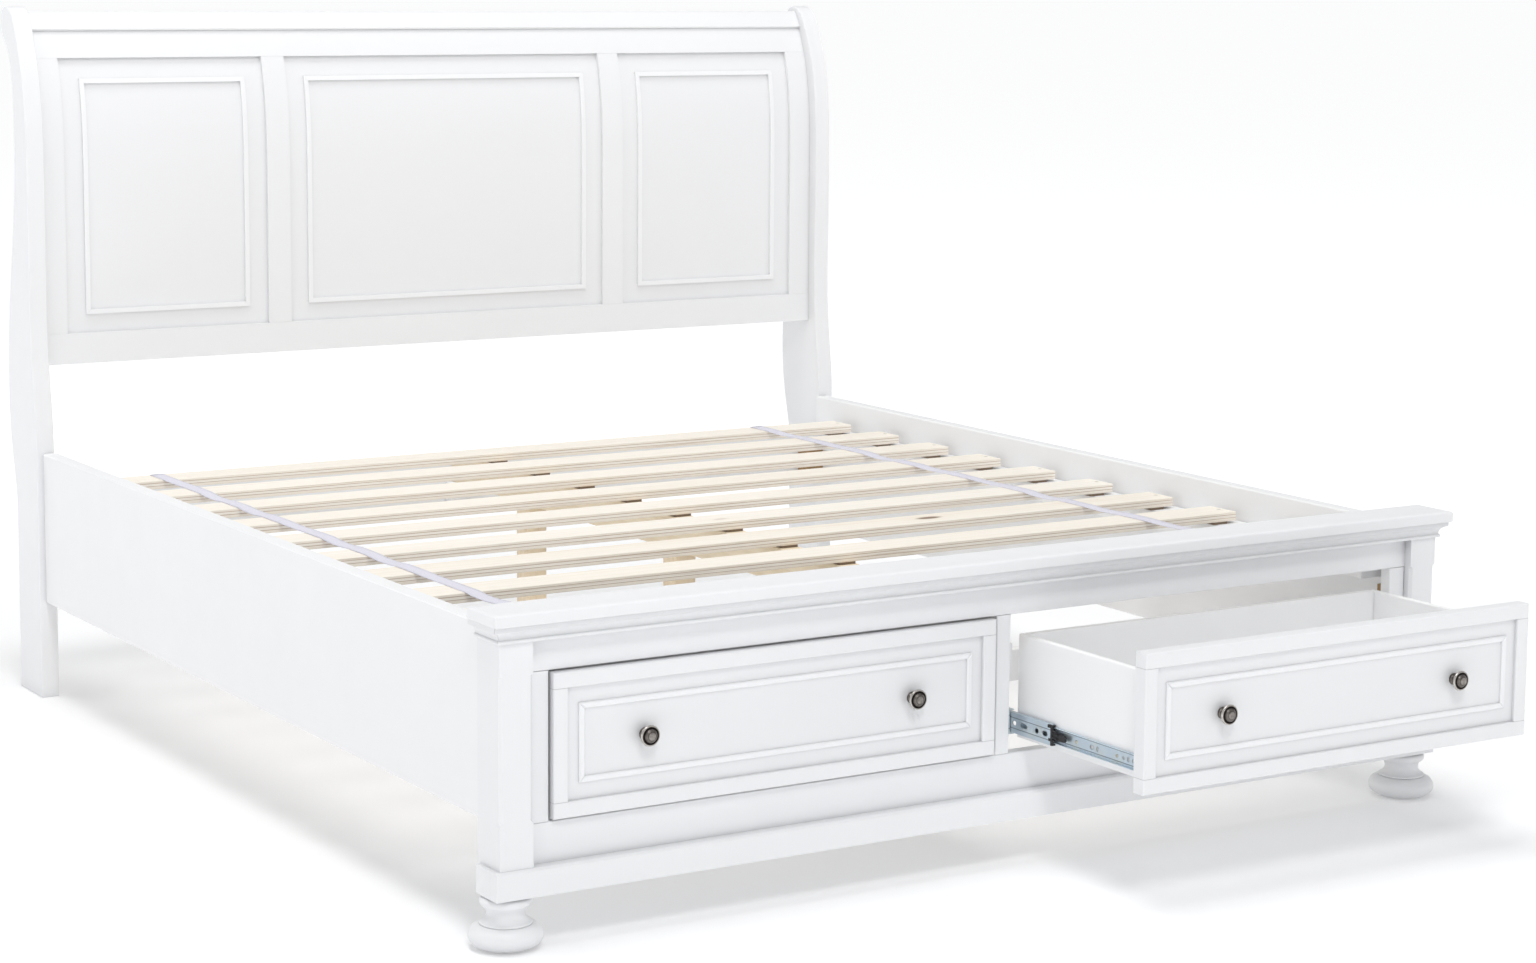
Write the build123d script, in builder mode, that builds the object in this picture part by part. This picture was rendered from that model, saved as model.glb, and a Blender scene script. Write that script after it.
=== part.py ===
from build123d import *
import os

# A white king-size sleigh bed frame with two drawers in its footboard.
# X runs across the bed, +Y towards the headboard, +Z up, the floor is Z = 0.
# The right drawer stands open by its full travel and the left one is closed.

# ---- overall sizes -------------------------------------------------------------------
rail_half_width = 1000.0  # outer face of a side rail, from the middle of the bed
rail_length = 2058.0  # between the footboard posts and the headboard posts
rail_bottom = 207.0
rail_height = 325.0
rail_thickness = 32.0

# ---- footboard -----------------------------------------------------------------------
foot_height = 88.0  # bun foot, floor to plinth
foot_radius = 62.0
foot_post_width = 61.0
foot_post_depth = 78.0
foot_post_proud = 17.0  # post face in front of the frame face
foot_side_step = 3.0  # post face outside the side rail
foot_board_thickness = 25.0
outer_stile_width = 37.0
centre_stile_width = 30.0
bottom_rail_top = 204.0
opening_height = 250.0
top_rail_height = 86.0
cap_thickness = 21.0
cap_front_overhang = 25.0
cap_side_overhang = 20.0
cap_back_setback = 5.0
cornice_height = 31.0
cornice_projection = 17.0
plinth_height = 48.0
plinth_front = 23.0
plinth_side = 9.0
post_chamfer = 5.0

# ---- drawers -------------------------------------------------------------------------
drawer_offset = 3.0  # drawers sit this far outward of the middle of their openings
front_gap = 3.0
front_thickness = 28.0
front_proud = 12.0
front_border = 27.0
front_round = 3.0
front_rebate = 8.0
panel_recess = 8.0
panel_thickness = 12.0
bead_width = 10.0
bead_height = 5.0
bead_inset_x = 22.0
bead_inset_z = 28.0
drawer_travel = 358.0
box_inset = 20.5  # box side in from the end of the drawer front
box_board = 12.0
box_length = 357.0
box_bottom_z = 227.0
box_height = 187.0
bottom_panel = 6.0
groove_depth = 6.0
bottom_panel_lift = 9.0
knob_radius = 18.0
knob_reach = 27.0
knob_spacing = 532.0
knob_screw_radius = 2.0
screw_head_radius = 4.5
screw_head_height = 3.0

# ---- drawer slides -------------------------------------------------------------------
slide_width = 12.7
slide_length = 350.0
slide_height = 45.0
slide_centre_z = 254.0
middle_height = 36.6
runner_height = 28.0
middle_length = 293.0
slide_sheet = 1.2
race_gap = 0.3
cage_length = 90.0
lever_length = 36.0
lever_height = 12.0
lever_thickness = 2.0
lever_back = 222.0  # lever pivot behind the drawer front's back face
support_thickness = 20.0
support_height = 58.0
bay_rail_thickness = 25.0
bay_rail_height = 62.0
bay_clearance = 8.0

# ---- headboard -----------------------------------------------------------------------
head_height = 1482.0
head_post_thickness = 39.0
head_side_step = 14.0
head_post_depth = 134.0
head_setback = 30.0  # frame face behind the post edge
head_board_thickness = 28.0
head_curl = 173.0  # how far the top curls back
head_belly = 24.0
belly_start = 540.0
belly_length = 240.0
curl_start = 1080.0
curl_power = 3.3
curl_gain = 88.0
head_bottom_rail_z = 715.0
head_bottom_rail_height = 66.0
panel_top_z = 1372.0
frieze_top_z = 1430.0
cap_rail_thickness = 34.0
cap_rail_proud = 8.0
end_stile_width = 55.0
mid_stile_width = 54.0
mid_stile_centre = 425.0
head_rebate = 8.0
head_panel_recess = 9.0
head_panel_thickness = 10.0
head_bead_inset = 44.0
head_bead_height = 6.0
stretcher_z = 345.0
stretcher_height = 100.0
stretcher_thickness = 25.0
stretcher_setback = 12.0

# ---- platform ------------------------------------------------------------------------
slat_count = 10
slat_width = 82.0
slat_thickness = 18.0
slat_bottom = 468.0
slat_end_gap = 22.0
first_slat = 32.0  # behind the footboard posts
last_slat_gap = 108.0  # from the last slat to the headboard posts
pad_thickness = 5.0  # pads under each slat, over the ledgers and the beam
pad_width = 36.0
pad_end_gap = 22.0
ledger_width = 70.0
screw_edge = 12.0  # slat screw in from the end of its slat
ledger_height = 40.0
beam_width = 44.0
beam_height = 68.0
cleat_height = 55.0
cleat_depth = 24.0
cleat_width = 76.0
leg_size = 50.0
leg_start = 54.0  # first leg behind the bay's rear rail
leg_end = 339.0  # last leg in front of the headboard posts
leg_count = 3
leg_lift = 22.0
glide_radius = 18.0
glide_disc = 8.0
glide_stem_radius = 5.0
glide_stem_length = 45.0
strap_places = (-790.0, 722.0)
strap_width = 28.0
strap_thickness = 1.6
block_size = 45.0  # glued in the corners at the headboard
foot_block_size = 20.0  # and behind the footboard
block_height = 68.0
block_z = 339.0

# ---- hardware ------------------------------------------------------------------------
hook_plate_width = 18.0
hook_plate_height = 130.0
hook_plate_sheet = 3.0
hook_reach = 14.0
hook_height = 26.0
hook_spacing = 70.0
hook_clearance = 0.4
slat_screw_radius = 2.0
slat_screw_length = 38.0
stud_radius = 5.0
stud_length = 60.0
bore_clearance = 0.05

joint_gap = 0.2  # open line between two boards of one frame
seat_gap = 0.3
edge = 1.5  # eased edge of a painted board

# ---- stations along Y, worked out so that the box of the whole bed is centred ----------
front_reach = front_proud + drawer_travel + knob_reach - panel_recess
post_back_from_face = foot_post_depth - foot_post_proud
back_reach = post_back_from_face + rail_length + head_curl
face_y = (front_reach - back_reach) / 2
post_front_y = face_y - foot_post_proud
post_back_y = face_y + post_back_from_face
board_back_y = face_y + foot_board_thickness
head_y = post_back_y + rail_length

# ---- heights and places shared by several pieces ---------------------------------------
rail_top = rail_bottom + rail_height
rail_inside = rail_half_width - rail_thickness
foot_post_out = rail_half_width + foot_side_step
foot_post_in = foot_post_out - foot_post_width
opening_top = bottom_rail_top + opening_height
cap_bottom = opening_top + top_rail_height
cap_top = cap_bottom + cap_thickness
plinth_top = foot_height + plinth_height
opening_in = centre_stile_width / 2
opening_out = foot_post_in - outer_stile_width
drawer_mid = (opening_in + opening_out) / 2 + drawer_offset
front_half = (opening_out - opening_in) / 2 - drawer_offset - front_gap
front_bottom = bottom_rail_top + front_gap + 1
front_top = opening_top - front_gap
front_mid_z = (front_bottom + front_top) / 2
front_face_y = face_y - front_proud
front_back_y = front_face_y + front_thickness
panel_face_y = front_face_y + panel_recess
box_half = front_half - box_inset
box_top = box_bottom_z + box_height
box_back_y = front_back_y + box_length
bay_rail_y = box_back_y + bay_clearance + 20
head_post_out = rail_half_width + head_side_step
head_post_in = head_post_out - head_post_thickness
panel_bottom_z = head_bottom_rail_z + head_bottom_rail_height
slat_top = slat_bottom + slat_thickness
ledger_top = slat_bottom - pad_thickness
knob_offset = knob_spacing / 2


def keep(piece, name):
    """Labels a finished piece and writes it."""
    piece.part.label = name
    export_step(piece.part, f"parts/{name}.step")


def block(low, high):
    """A box between two corners, added to the part being built."""
    size = [b - a for a, b in zip(low, high)]
    middle = [(a + b) / 2 for a, b in zip(low, high)]
    with Locations(tuple(middle)):
        Box(*size)


def cut(low, high):
    """A box between two corners, taken away from the part being built."""
    size = [b - a for a, b in zip(low, high)]
    middle = [(a + b) / 2 for a, b in zip(low, high)]
    with Locations(tuple(middle)):
        Box(*size, mode=Mode.SUBTRACT)


def mirrored(side, low, high):
    """The same two corners on the left side (-1) or the right side (1) of the bed."""
    if side > 0:
        return low, high
    return (-high[0], low[1], low[2]), (-low[0], high[1], high[2])


def belly(z):
    """How far the headboard's front edge lies behind its foot at a height."""
    rise = min(max((z - belly_start) / belly_length, 0), 1)
    back = head_belly * rise * rise * (3 - 2 * rise)
    if z > curl_start:
        back += curl_gain * ((z - curl_start) / (head_height - curl_start)) ** curl_power
    return back


bend_heights = [690.0, 740.0, 800.0, 880.0, 960.0, 1030.0, 1100.0, 1170.0, 1240.0, 1310.0, 1370.0, 1430.0, 1480.0]


def bent_board(x_low, x_high, front, thickness, z_low, z_high):
    """A headboard board on the sleigh curve, between two places across and two heights."""
    near = [(head_y + front + belly(z), z) for z in bend_heights]
    far = [(y + thickness, z) for y, z in near]
    with BuildPart() as board:
        with BuildSketch(Plane.YZ.offset(x_low)):
            with BuildLine():
                Spline(*near)
                Line(near[-1], far[-1])
                Spline(*far)
                Line(far[0], near[0])
            make_face()
            with Locations((head_y, (z_low + z_high) / 2)):
                Rectangle(1000, z_high - z_low, mode=Mode.INTERSECT)
        extrude(amount=x_high - x_low)
    return board.part


def channel(low, high, web_side, wall):
    """A rolled steel channel between two corners, its web on the -X (-1) or +X (1) side."""
    block(low, high)
    inside_low = [low[0], low[1], low[2] + wall]
    inside_high = [high[0], high[1], high[2] - wall]
    if web_side < 0:
        inside_low[0] += wall
    else:
        inside_high[0] -= wall
    cut(inside_low, inside_high)


os.makedirs("parts", exist_ok=True)

# ======================================================================================
# Headboard
# ======================================================================================

hook_low = rail_bottom + (rail_height - hook_plate_height) / 2
hook_x = (rail_inside + rail_half_width) / 2


def cut_post_pocket(side, face, inward):
    """The mortise for a slotted plate and the hooks behind it, in a post's face."""
    depths = ((hook_plate_sheet, hook_plate_height, hook_plate_width), (hook_reach + 4, hook_plate_height - 20, 8))
    for depth, height, width in depths:
        middle_z = hook_low + hook_plate_height / 2
        y_low, y_high = sorted((face, face + inward * depth))
        low = (hook_x - width / 2, y_low, middle_z - height / 2)
        high = (hook_x + width / 2, y_high, middle_z + height / 2)
        cut(*mirrored(side, low, high))


for name, side in (("left", -1), ("right", 1)):
    x_low = head_post_in if side > 0 else -head_post_out
    with BuildPart() as head_post:
        with BuildSketch(Plane.YZ.offset(x_low)):
            front_edge = [(head_y + belly(z), z) for z in (540, 640, 780, 950, 1120, 1260, 1350, 1420)]
            back_edge = [(173, 1450), (160, 1418), (135, 1393), (111, 1335), (102, 1230), (109, 1090), (134, 950)]
            back_edge += [(161, 810), (172, 660), (163, 545), (143, 460), (head_post_depth, 395)]
            crown = [(head_y + 102, 1466), (head_y + 135, head_height), (head_y + 165, head_height - 12)]
            outline = front_edge + crown + [(head_y + y, z) for y, z in back_edge]
            with BuildLine():
                Line((head_y, 0), outline[0])
                Spline(*outline, tangents=((0, 1), (0, -1)))
                Line(outline[-1], (head_y + head_post_depth, 0))
                Line((head_y + head_post_depth, 0), (head_y, 0))
            make_face()
        extrude(amount=head_post_thickness)
        side_faces = head_post.faces().sort_by(Axis.X)
        chamfer(side_faces[0].edges() + side_faces[-1].edges(), edge)
        cut_post_pocket(side, head_y, 1)
    keep(head_post, f"{name}_headboard_post")

head_inner = head_post_in - joint_gap
stile_in = head_post_in - end_stile_width
mid_in = mid_stile_centre - mid_stile_width / 2
mid_out = mid_stile_centre + mid_stile_width / 2
panel_spans = {
    "left": (-stile_in, -mid_out),
    "centre": (-mid_in, mid_in),
    "right": (mid_out, stile_in),
}


stile_spans = ((-head_inner, -stile_in), (-mid_out, -mid_in), (mid_in, mid_out), (stile_in, head_inner))
panel_front = head_setback + head_panel_recess
frame_size = (head_setback, head_board_thickness)

# the rebates behind the frame that the three panels drop into
panel_rebates = []
for x_low, x_high in panel_spans.values():
    across = (x_low - head_rebate, x_high + head_rebate)
    upright = (panel_bottom_z - head_rebate, panel_top_z + head_rebate)
    panel_rebates.append(bent_board(*across, panel_front, head_board_thickness, *upright))

cap_board = bent_board(
    -head_inner, head_inner, head_setback - cap_rail_proud, cap_rail_thickness, frieze_top_z, head_height - 12
)
with BuildPart() as head_cap:
    add(cap_board)
    chamfer(head_cap.edges().filter_by(Axis.X), 4)
keep(head_cap, "headboard_cap_rail")

frieze_board = bent_board(-head_inner, head_inner, *frame_size, panel_top_z, frieze_top_z - joint_gap)
with BuildPart() as frieze:
    add(frieze_board)
    add(panel_rebates, mode=Mode.SUBTRACT)
keep(frieze, "headboard_frieze_rail")

bottom_board = bent_board(-head_inner, head_inner, *frame_size, head_bottom_rail_z, panel_bottom_z)
with BuildPart() as head_bottom:
    add(bottom_board)
    add(panel_rebates, mode=Mode.SUBTRACT)
keep(head_bottom, "headboard_bottom_rail")

stile_upright = (panel_bottom_z + joint_gap, panel_top_z - joint_gap)
stile_boards = [bent_board(*across, *frame_size, *stile_upright) for across in stile_spans]
with BuildPart() as head_stiles:
    add(stile_boards)
    add(panel_rebates, mode=Mode.SUBTRACT)
keep(head_stiles, "headboard_stiles")

for name, (x_low, x_high) in panel_spans.items():
    across = (x_low - head_rebate + seat_gap, x_high + head_rebate - seat_gap)
    upright = (panel_bottom_z - head_rebate + seat_gap, panel_top_z + head_rebate - seat_gap)
    panel_board = bent_board(*across, panel_front, head_panel_thickness, *upright)
    with BuildPart() as head_panel:
        add(panel_board)
    keep(head_panel, f"headboard_{name}_panel")


def mitred_ring(plane, x_low, x_high, z_low, z_high, width, depth):
    """Four moulding strips round a rectangle, cut at 45 degrees and not quite touching."""
    gap = joint_gap / 2
    corners = [(x_low, z_low), (x_high, z_low), (x_high, z_high), (x_low, z_high)]
    turns = [(1, 1), (-1, 1), (-1, -1), (1, -1)]
    outlines = []
    for i in range(4):
        (ax, az), (bx, bz) = corners[i], corners[(i + 1) % 4]
        (adx, adz), (bdx, bdz) = turns[i], turns[(i + 1) % 4]
        run_x = 1 if bx > ax else -1 if bx < ax else 0
        run_z = 1 if bz > az else -1 if bz < az else 0
        outlines.append([
            (ax + run_x * gap, az + run_z * gap),
            (bx - run_x * gap, bz - run_z * gap),
            (bx + bdx * width - run_x * gap, bz + bdz * width - run_z * gap),
            (ax + adx * width + run_x * gap, az + adz * width + run_z * gap),
        ])
    with BuildPart() as ring:
        with BuildSketch(plane):
            for outline in outlines:
                with BuildLine():
                    Polyline(*outline, close=True)
                make_face()
        extrude(amount=depth)
    return ring.part


ring_plane = Plane(origin=(0, head_y, 0), x_dir=(1, 0, 0), z_dir=(0, -1, 0))
ring_upright = (panel_bottom_z + head_bead_inset - 4, panel_top_z - head_bead_inset)
head_rings = []
for x_low, x_high in panel_spans.values():
    across = (x_low + head_bead_inset, x_high - head_bead_inset)
    head_rings.append(mitred_ring(ring_plane, *across, *ring_upright, bead_width, -head_curl))
bead_front = panel_front - head_bead_height
bead_sheet = bent_board(-head_inner, head_inner, bead_front, head_bead_height, panel_bottom_z, panel_top_z)
with BuildPart() as head_beads:
    add(bead_sheet)
    add(head_rings, mode=Mode.INTERSECT)
keep(head_beads, "headboard_beads")

stretcher_y = head_y + stretcher_setback
with BuildPart() as stretcher:
    block(
        (-head_inner, stretcher_y, stretcher_z),
        (head_inner, stretcher_y + stretcher_thickness, stretcher_z + stretcher_height),
    )
    chamfer(stretcher.edges().filter_by(Axis.X), edge)
keep(stretcher, "headboard_stretcher")

# ======================================================================================
# Side rails, ledgers and the hooks that join them to the posts
# ======================================================================================

for name, side in (("left", -1), ("right", 1)):
    with BuildPart() as side_rail:
        low = (rail_inside, post_back_y, rail_bottom)
        high = (rail_half_width, head_y, rail_top)
        block(*mirrored(side, low, high))
        chamfer(side_rail.edges().filter_by(Axis.Y), 3)
        for end, inward in ((post_back_y, 1), (head_y, -1)):
            y_low, y_high = sorted((end, end + inward * hook_plate_sheet))
            low = (hook_x - hook_plate_width / 2, y_low, hook_low)
            high = (hook_x + hook_plate_width / 2, y_high, hook_low + hook_plate_height)
            cut(*mirrored(side, low, high))
    keep(side_rail, f"{name}_side_rail")

with BuildPart() as ledgers:
    for side in (-1, 1):
        low = (rail_inside - ledger_width, post_back_y + 10, ledger_top - ledger_height)
        high = (rail_inside, head_y - 10, ledger_top)
        block(*mirrored(side, low, high))
    chamfer(ledgers.edges().filter_by(Axis.Y), edge)

rail_ends = [(side, end, inward) for side in (-1, 1) for end, inward in ((post_back_y, 1), (head_y, -1))]
hook_heights = [hook_low + hook_plate_height / 2 + s * hook_spacing / 2 for s in (-1, 1)]

with BuildPart() as hooks:
    for side, end, inward in rail_ends:
        y_low, y_high = sorted((end, end + inward * (hook_plate_sheet - seat_gap)))
        low = (hook_x - hook_plate_width / 2 + seat_gap, y_low, hook_low + seat_gap)
        high = (hook_x + hook_plate_width / 2 - seat_gap, y_high, hook_low + hook_plate_height - seat_gap)
        block(*mirrored(side, low, high))
        for z in hook_heights:
            y_low, y_high = sorted((end, end - inward * hook_reach))
            low = (hook_x - 1.5, y_low, z - hook_height / 2)
            high = (hook_x + 1.5, y_high, z + hook_height / 2)
            block(*mirrored(side, low, high))
            notch = (end, end - inward * (hook_plate_sheet + hook_clearance))
            low = (hook_x - 2, min(notch), z - hook_height / 2 - 1)
            high = (hook_x + 2, max(notch), z - hook_height / 2 + 7)
            cut(*mirrored(side, low, high))
keep(hooks, "rail_hooks")

with BuildPart() as slot_plates:
    for side, end, inward in rail_ends:
        y_low, y_high = sorted((end - inward * seat_gap, end - inward * (hook_plate_sheet - seat_gap)))
        low = (hook_x - hook_plate_width / 2 + seat_gap, y_low, hook_low + seat_gap)
        high = (hook_x + hook_plate_width / 2 - seat_gap, y_high, hook_low + hook_plate_height - seat_gap)
        block(*mirrored(side, low, high))
        for z in hook_heights:
            low = (hook_x - 1.5 - hook_clearance, y_low, z - hook_height / 2 + 7 - hook_clearance)
            high = (hook_x + 1.5 + hook_clearance, y_high, z + hook_height / 2 + hook_clearance)
            cut(*mirrored(side, low, high))
keep(slot_plates, "post_hook_plates")

# ======================================================================================
# Footboard
# ======================================================================================



def corner_waste(x):
    """What the stopped chamfer takes off a post corner: a bar on edge with pointed ends."""
    middle_z = (bottom_rail_top + opening_top) / 2 + 5
    with BuildPart() as waste:
        with Locations((x, post_front_y, middle_z)):
            Box(post_chamfer * 1.5, post_chamfer * 1.5, opening_height - 4, rotation=(0, 0, 45))
        ends = waste.faces().sort_by(Axis.Z)
        chamfer(ends[0].edges() + ends[-1].edges(), post_chamfer * 0.7)
    return waste.part


corner_wastes = {side: [corner_waste(side * x) for x in (foot_post_in, foot_post_out)] for side in (-1, 1)}

for name, side in (("left", -1), ("right", 1)):
    foot_x = side * (foot_post_in + foot_post_out) / 2
    foot_y = (post_front_y + post_back_y) / 2
    with BuildPart() as foot_post:
        low = (foot_post_in, post_front_y, foot_height)
        high = (foot_post_out, post_back_y, cap_bottom)
        block(*mirrored(side, low, high))
        for waste in corner_wastes[side]:
            add(waste, mode=Mode.SUBTRACT)
        cut_post_pocket(side, post_back_y, -1)
        with BuildSketch(Plane.XY.offset(foot_height)):
            with Locations((foot_x, foot_y)):
                Circle(stud_radius + bore_clearance)
        extrude(amount=stud_length / 2 + 2, mode=Mode.SUBTRACT)
    keep(foot_post, f"{name}_footboard_post")

    with BuildPart() as bun_foot:
        with BuildSketch(Plane.XZ.offset(-foot_y)):
            with BuildLine():
                Line((foot_x, 0), (foot_x + 40, 0))
                Spline((foot_x + 40, 0), (foot_x + foot_radius, 21), (foot_x + 43, 40), tangents=((1, 0.3), (-1, 0.2)))
                ThreePointArc((foot_x + 43, 40), (foot_x + 44, 42), (foot_x + 42, 44))
                ThreePointArc((foot_x + 42, 44), (foot_x + 32, 57), (foot_x + 36, 69))
                ThreePointArc((foot_x + 36, 69), (foot_x + 43, 77), (foot_x + 37, foot_height - 2))
                Line((foot_x + 37, foot_height - 2), (foot_x + 37, foot_height))
                Line((foot_x + 37, foot_height), (foot_x, foot_height))
                Line((foot_x, foot_height), (foot_x, 0))
            make_face()
        revolve(axis=Axis((foot_x, foot_y, 0), (0, 0, 1)))
        with BuildSketch(Plane.XY.offset(foot_height)):
            with Locations((foot_x, foot_y)):
                Circle(stud_radius + bore_clearance)
        extrude(amount=-stud_length / 2 - 2, mode=Mode.SUBTRACT)
    keep(bun_foot, f"{name}_bun_foot")

with BuildPart() as studs:
    for side in (-1, 1):
        with BuildSketch(Plane.XY.offset(foot_height - stud_length / 2)):
            with Locations((side * (foot_post_in + foot_post_out) / 2, (post_front_y + post_back_y) / 2)):
                Circle(stud_radius)
        extrude(amount=stud_length)
keep(studs, "bun_foot_studs")

board_end = foot_post_in - joint_gap
with BuildPart() as foot_top_rail:
    block((-board_end, face_y, opening_top), (board_end, board_back_y, cap_bottom))
    chamfer(foot_top_rail.edges().group_by(Axis.Z)[0].filter_by(Axis.X), edge)
keep(foot_top_rail, "footboard_top_rail")

with BuildPart() as foot_bottom_rail:
    block((-board_end, face_y, foot_height), (board_end, board_back_y, bottom_rail_top))
    chamfer(foot_bottom_rail.edges().group_by(Axis.Z)[-1].filter_by(Axis.X), edge)
keep(foot_bottom_rail, "footboard_bottom_rail")

with BuildPart() as foot_stiles:
    stile_low = bottom_rail_top + joint_gap
    stile_high = opening_top - joint_gap
    block((-opening_in, face_y, stile_low), (opening_in, board_back_y, stile_high))
    for side in (-1, 1):
        block(*mirrored(side, (opening_out, face_y, stile_low), (board_end, board_back_y, stile_high)))
    chamfer(foot_stiles.edges().filter_by(Axis.Z), edge)
keep(foot_stiles, "footboard_stiles")

cap_out = foot_post_out + cap_side_overhang
with BuildPart() as foot_cap:
    cap_front_y = post_front_y - cap_front_overhang
    block((-cap_out, cap_front_y, cap_bottom), (cap_out, post_back_y - cap_back_setback, cap_top))
    fillet(foot_cap.edges().group_by(Axis.Z)[-1], 5)
    fillet(foot_cap.edges().group_by(Axis.Z)[0], 3)
keep(foot_cap, "footboard_cap")

cornice_low = cap_bottom - cornice_height


def cornice_section(wall, out):
    """The cornice's section: a bead, a cove and a top fillet, growing out of a face."""
    reach = wall + out * cornice_projection
    low = cornice_low
    foot = wall + out * 4
    shelf = wall + out * (cornice_projection - 4)
    with BuildSketch() as section:
        with BuildLine():
            Line((wall, low), (foot, low))
            ThreePointArc((foot, low), (foot + out * 2.5, low + 3.5), (foot, low + 7))
            ThreePointArc((foot, low + 7), (foot + out * 3.2, low + 17), (shelf, low + 21))
            Line((shelf, low + 21), (reach, low + 22))
            Line((reach, low + 22), (reach, cap_bottom))
            Line((reach, cap_bottom), (wall, cap_bottom))
            Line((wall, cap_bottom), (wall, low))
        make_face()
    return section.sketch


cornice_out = foot_post_out + cornice_projection


def mitre_wedge(side, keep_front):
    """The waste beyond the 45 degree line through a footboard corner."""
    corner = (side * foot_post_out, post_front_y)
    gap = joint_gap / 2
    reach = 60.0
    line_low = (corner[0] - side * reach, corner[1] + reach)
    line_high = (corner[0] + side * reach, corner[1] - reach)
    away = (side * reach, reach) if keep_front else (-side * reach, -reach)
    shift = (-side * gap, -gap) if keep_front else (side * gap, gap)
    outline = [
        (line_low[0] + shift[0], line_low[1] + shift[1]),
        (line_high[0] + shift[0], line_high[1] + shift[1]),
        (line_high[0] + away[0], line_high[1] + away[1]),
        (line_low[0] + away[0], line_low[1] + away[1]),
    ]
    with BuildPart() as wedge:
        with BuildSketch(Plane.XY):
            with BuildLine():
                Polyline(*outline, close=True)
            make_face()
        extrude(amount=cap_top)
    return wedge.part


def post_boxes_cut(height_low, height_high):
    """Room for the two posts in a moulding that runs past them."""
    for side in (-1, 1):
        low = (foot_post_in - joint_gap, post_front_y, height_low)
        high = (foot_post_out + 0.01, post_back_y, height_high)
        cut(*mirrored(side, low, high))


front_section = cornice_section(post_front_y, -1)
side_section = cornice_section(-foot_post_out, -1)
front_waste = [mitre_wedge(side, True) for side in (-1, 1)]
side_waste = mitre_wedge(-1, False)
with BuildPart() as front_cornice:
    with BuildSketch(Plane.YZ.offset(-cornice_out)):
        add(front_section)
    extrude(amount=2 * cornice_out)
    block((-board_end, post_front_y, cornice_low), (board_end, face_y, cap_bottom))
    add(front_waste, mode=Mode.SUBTRACT)
with BuildPart() as left_cornice:
    with BuildSketch(Plane.XZ.offset(-post_back_y)):
        add(side_section)
    extrude(amount=post_back_y - post_front_y + cornice_projection)
    add(side_waste, mode=Mode.SUBTRACT)
with BuildPart() as cornice:
    add(front_cornice.part)
    add(left_cornice.part)
    add(mirror(left_cornice.part, about=Plane.YZ))
keep(cornice, "footboard_cornice")

with BuildPart() as plinth:
    plinth_out = foot_post_out + plinth_side
    front_low = face_y - plinth_front
    block((-plinth_out, front_low, foot_height), (plinth_out, face_y, plinth_top))
    post_boxes_cut(foot_height, plinth_top)
    for side in (-1, 1):
        low = (foot_post_out, face_y + joint_gap, foot_height)
        high = (plinth_out, post_back_y - 10, plinth_top)
        block(*mirrored(side, low, high))
    top_edges = plinth.edges().group_by(Axis.Z)[-1]
    chamfer(top_edges.filter_by(Axis.X).group_by(Axis.Y)[0], 4)
keep(plinth, "footboard_plinth")

# ======================================================================================
# Drawer bay behind the footboard
# ======================================================================================

support_low = slide_centre_z - support_height / 2
slide_planes = (drawer_mid - box_half - slide_width, drawer_mid + box_half + slide_width)

with BuildPart() as supports:
    for side in (-1, 1):
        for plane_x, out in zip(slide_planes, (-1, 1)):
            x_low, x_high = sorted((plane_x, plane_x + out * support_thickness))
            low = (x_low, board_back_y, support_low)
            high = (x_high, bay_rail_y, support_low + support_height)
            block(*mirrored(side, low, high))
keep(supports, "slide_supports")

with BuildPart() as bay_rail:
    low_z = slide_centre_z - bay_rail_height / 2
    block((-rail_inside, bay_rail_y, low_z), (rail_inside, bay_rail_y + bay_rail_thickness, low_z + bay_rail_height))
    chamfer(bay_rail.edges().filter_by(Axis.X), edge)
keep(bay_rail, "bay_rear_rail")

# ======================================================================================
# Platform
# ======================================================================================

slat_half = rail_inside - slat_end_gap
slat_pitch = (rail_length - first_slat - last_slat_gap - slat_width) / (slat_count - 1)
slat_ys = [post_back_y + first_slat + i * slat_pitch for i in range(slat_count)]
pad_x = slat_half - pad_end_gap - pad_width / 2
screw_x = rail_inside - slat_end_gap - screw_edge
screw_places = [(side * screw_x, y + slat_width / 2) for side in (-1, 1) for y in slat_ys]

with BuildPart() as slats:
    for y in slat_ys:
        block((-slat_half, y, slat_bottom), (slat_half, y + slat_width, slat_top))
    chamfer(slats.edges().filter_by(Axis.X), 1)
    for y in slat_ys:
        for x in (-pad_x, 0, pad_x):
            block((x - pad_width / 2, y + 1, ledger_top), (x + pad_width / 2, y + slat_width - 1, slat_bottom))
    with BuildSketch(Plane.XY.offset(slat_top)):
        with Locations(*screw_places):
            Circle(slat_screw_radius + bore_clearance)
    extrude(amount=-slat_thickness, mode=Mode.SUBTRACT)
    with BuildSketch(Plane.XY.offset(slat_top)):
        with Locations(*screw_places):
            Circle(screw_head_radius + bore_clearance)
    extrude(amount=-screw_head_height, mode=Mode.SUBTRACT)
keep(slats, "slats")

with BuildPart() as ledger_bores:
    with BuildSketch(Plane.XY.offset(ledger_top)):
        with Locations(*screw_places):
            Circle(slat_screw_radius + bore_clearance)
    extrude(amount=-slat_screw_length + slat_thickness + pad_thickness - 1)
with BuildPart() as bored_ledgers:
    add(ledgers.part)
    add(ledger_bores.part, mode=Mode.SUBTRACT)
keep(bored_ledgers, "side_ledgers")

with BuildPart() as slat_screws:
    with BuildSketch(Plane.XY.offset(slat_top)):
        with Locations(*screw_places):
            Circle(slat_screw_radius)
    extrude(amount=-slat_screw_length)
    with BuildSketch(Plane.XY.offset(slat_top)):
        with Locations(*screw_places):
            Circle(screw_head_radius)
    extrude(amount=-screw_head_height)
keep(slat_screws, "slat_screws")

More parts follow.
